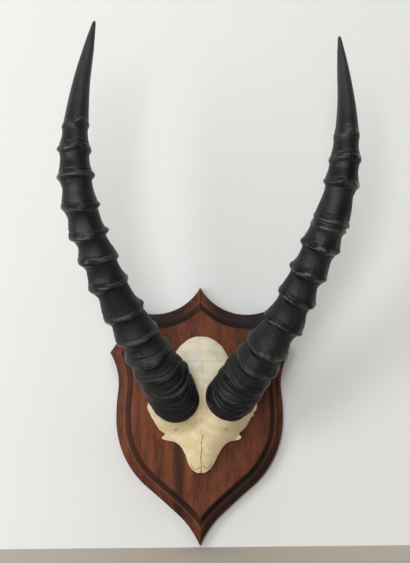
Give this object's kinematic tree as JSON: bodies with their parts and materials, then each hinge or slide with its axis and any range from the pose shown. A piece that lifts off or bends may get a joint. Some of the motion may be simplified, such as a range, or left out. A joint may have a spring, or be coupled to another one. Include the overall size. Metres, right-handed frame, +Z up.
{
  "type": "horn trophy",
  "caption": "Ringed black antelope horns on a sawn skull cap, screwed to a moulded hardwood shield that hangs flat on a wall.",
  "frame": {"origin": "on the shield's flat back face, on its centre line, level with the lowest edge of the horns' seats", "axes": "+Y into the wall, along the back face's outward normal; +Z up; +X to the viewer's right; the horns reach forwards along -Y"},
  "size_m": [0.2792, 0.1745, 0.504],
  "materials": {
    "shield_wood": "stained red-brown mahogany, satin varnish, darker in the moulding",
    "bone": "bleached cream bone, dry and matt, with fine sutures and small pits",
    "horn": "black-grey keratin, satin, ringed, with brown tints near the tips and the base",
    "brass_fitting": "dull stamped brass",
    "steel_screw": "plain zinc-plated steel"
  },
  "bodies": {
    "root": {"shield_board": "shield_wood", "hanger_plate": "brass_fitting", "hanger_screw_upper": "brass_fitting", "hanger_screw_lower": "brass_fitting", "skull_screw_upper": "steel_screw", "skull_screw_lower": "steel_screw", "skull_cap": "bone", "horn_left": "horn", "horn_right": "horn"}
  },
  "joints": []
}
